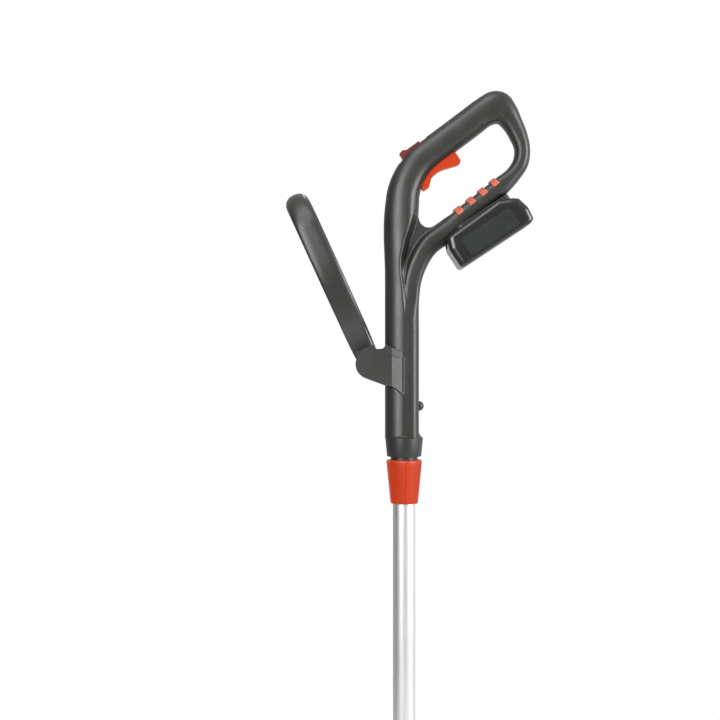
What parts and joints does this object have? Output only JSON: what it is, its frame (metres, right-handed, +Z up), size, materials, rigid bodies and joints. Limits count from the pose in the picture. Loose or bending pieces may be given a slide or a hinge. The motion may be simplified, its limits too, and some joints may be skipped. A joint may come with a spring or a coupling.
{
  "type": "cordless grass trimmer",
  "caption": "Cordless grass trimmer on a telescopic pole: D-shaped rear handle with trigger and slide-on battery, swinging second handle, twist clamp and tilting cutting head.",
  "frame": {"origin": "middle of the ground glide's flat underside, on the cutter's spindle axis", "axes": "+Z up along the pole, +X from the cutting side towards the user, +Y to the side with the clamping knob"},
  "size_m": [0.3374, 0.2624, 1.1206],
  "materials": {
    "shell_plastic": "fine moulded grain, charcoal",
    "black_plastic": "satin, near black",
    "head_plastic": "satin, dark grey",
    "soft_grip": "speckled soft grip",
    "orange_plastic": "satin orange",
    "tube_metal": "drawn and anodised",
    "steel": "zinc plated",
    "contact_metal": "bright",
    "cell_can": null,
    "circuit_board": "green solder mask"
  },
  "bodies": {
    "handle": {"left_shell": "shell_plastic", "right_shell": "shell_plastic", "shell_screws": "steel", "grip_pad": "soft_grip", "grip_ribs": "orange_plastic", "trigger_pin": "steel", "trigger_spring": "steel", "lock_spring": "steel", "switch_block": "black_plastic", "battery_dock": "black_plastic", "dock_blades": "contact_metal", "control_board": "circuit_board", "switch_lead": "black_plastic", "motor_lead": "black_plastic", "second_bracket": "shell_plastic", "bracket_screws": "steel", "pivot_bolt": "steel", "pivot_washers": "steel", "stop_stud": "black_plastic", "ferrule": "shell_plastic", "collet": "black_plastic", "coiled_lead": "black_plastic"},
    "trigger": {"trigger": "orange_plastic"},
    "lock_button": {"lock_button": "orange_plastic"},
    "battery": {"pack_tray": "black_plastic", "pack_cover": "black_plastic", "pack_cells": "cell_can", "pack_board": "circuit_board", "pack_panels": "shell_plastic", "pack_screws": "steel", "latch_spring": "steel"},
    "pack_latch": {"pack_latch": "shell_plastic"},
    "second_handle": {"second_hub": "black_plastic", "second_loop": "black_plastic", "second_cover": "shell_plastic", "second_inlays": "shell_plastic"},
    "pivot_knob": {"pivot_knob": "orange_plastic"},
    "collar": {"twist_collar": "orange_plastic"},
    "lower_pole": {"pole_tube": "tube_metal", "tube_guide": "black_plastic", "head_socket": "head_plastic", "socket_screw": "steel", "tilt_pin": "steel", "pedal_spring": "steel"},
    "pedal": {"tilt_pedal": "orange_plastic"},
    "head": {"motor_cover": "head_plastic", "motor_housing": "head_plastic", "housing_screws": "steel", "motor": "steel", "spindle_bearing": "steel", "guard": "head_plastic", "guard_screws": "steel"},
    "cutter": {"spindle": "steel", "cutter_disc": "head_plastic", "ground_glide": "black_plastic", "glide_screw": "steel"},
    "blade": {"cutter_blade": "orange_plastic"},
    "plant_guard": {"plant_guard": "steel"}
  },
  "joints": [
    {"name": "trigger_pull", "type": "hinge", "parent": "handle", "child": "trigger", "pos_m": [-0.06181, 0, 0.95069], "axis": [0, -1, 0], "range_deg": [0, 7], "stiffness_Nm_per_rad": 2, "springref_deg": -5.73, "deforming": ["trigger_spring"]},
    {"name": "lock_slide", "type": "slide", "parent": "handle", "child": "lock_button", "axis": [-0.8, 0, -0.6], "range_m": [0, 0.005], "stiffness_N_per_m": 800, "springref_m": -0.005, "deforming": ["lock_spring"]},
    {"name": "battery_slide", "type": "slide", "parent": "handle", "child": "battery", "axis": [0.8348, 0, 0.5505], "range_m": [0, 0.115]},
    {"name": "latch_press", "type": "slide", "parent": "battery", "child": "pack_latch", "axis": [0.5505, 0, -0.8348], "range_m": [0, 0.003], "stiffness_N_per_m": 1500, "springref_m": -0.003, "deforming": ["latch_spring"]},
    {"name": "second_swing", "type": "hinge", "parent": "handle", "child": "second_handle", "pos_m": [-0.12644, 0, 0.69804], "axis": [0, -1, 0], "range_deg": [0, 150]},
    {"name": "knob_turn", "type": "hinge", "parent": "handle", "child": "pivot_knob", "pos_m": [-0.12644, 0, 0.69804], "axis": [0, 1, 0], "range_deg": [-180, 0]},
    {"name": "collar_twist", "type": "hinge", "parent": "handle", "child": "collar", "pos_m": [-0.08164, 0, 0.51204], "axis": [0, 0, 1], "range_deg": [0, 90]},
    {"name": "pole_slide", "type": "slide", "parent": "handle", "child": "lower_pole", "axis": [0, 0, -1], "range_m": [-0.1, 0.04], "deforming": ["coiled_lead"]},
    {"name": "head_tilt", "type": "hinge", "parent": "lower_pole", "child": "head", "pos_m": [-0.08164, 0, 0.12104], "axis": [0, 1, 0], "range_deg": [-30, 35]},
    {"name": "pedal_press", "type": "slide", "parent": "lower_pole", "child": "pedal", "axis": [0, 0, -1], "range_m": [0, 0.005], "stiffness_N_per_m": 1500, "springref_m": -0.005, "deforming": ["pedal_spring"]},
    {"name": "cutter_spin", "type": "hinge", "parent": "head", "child": "cutter", "pos_m": [0, 0, 0], "axis": [-0.5592, 0, 0.829], "continuous": true},
    {"name": "blade_swing", "type": "hinge", "parent": "cutter", "child": "blade", "pos_m": [-0.03979, 0, -0.02684], "axis": [-0.5592, 0, 0.829], "range_deg": [-100, 100]},
    {"name": "hoop_swing", "type": "hinge", "parent": "head", "child": "plant_guard", "pos_m": [-0.02516, 0, 0.03731], "axis": [0, 1, 0], "range_deg": [0, 75]}
  ]
}
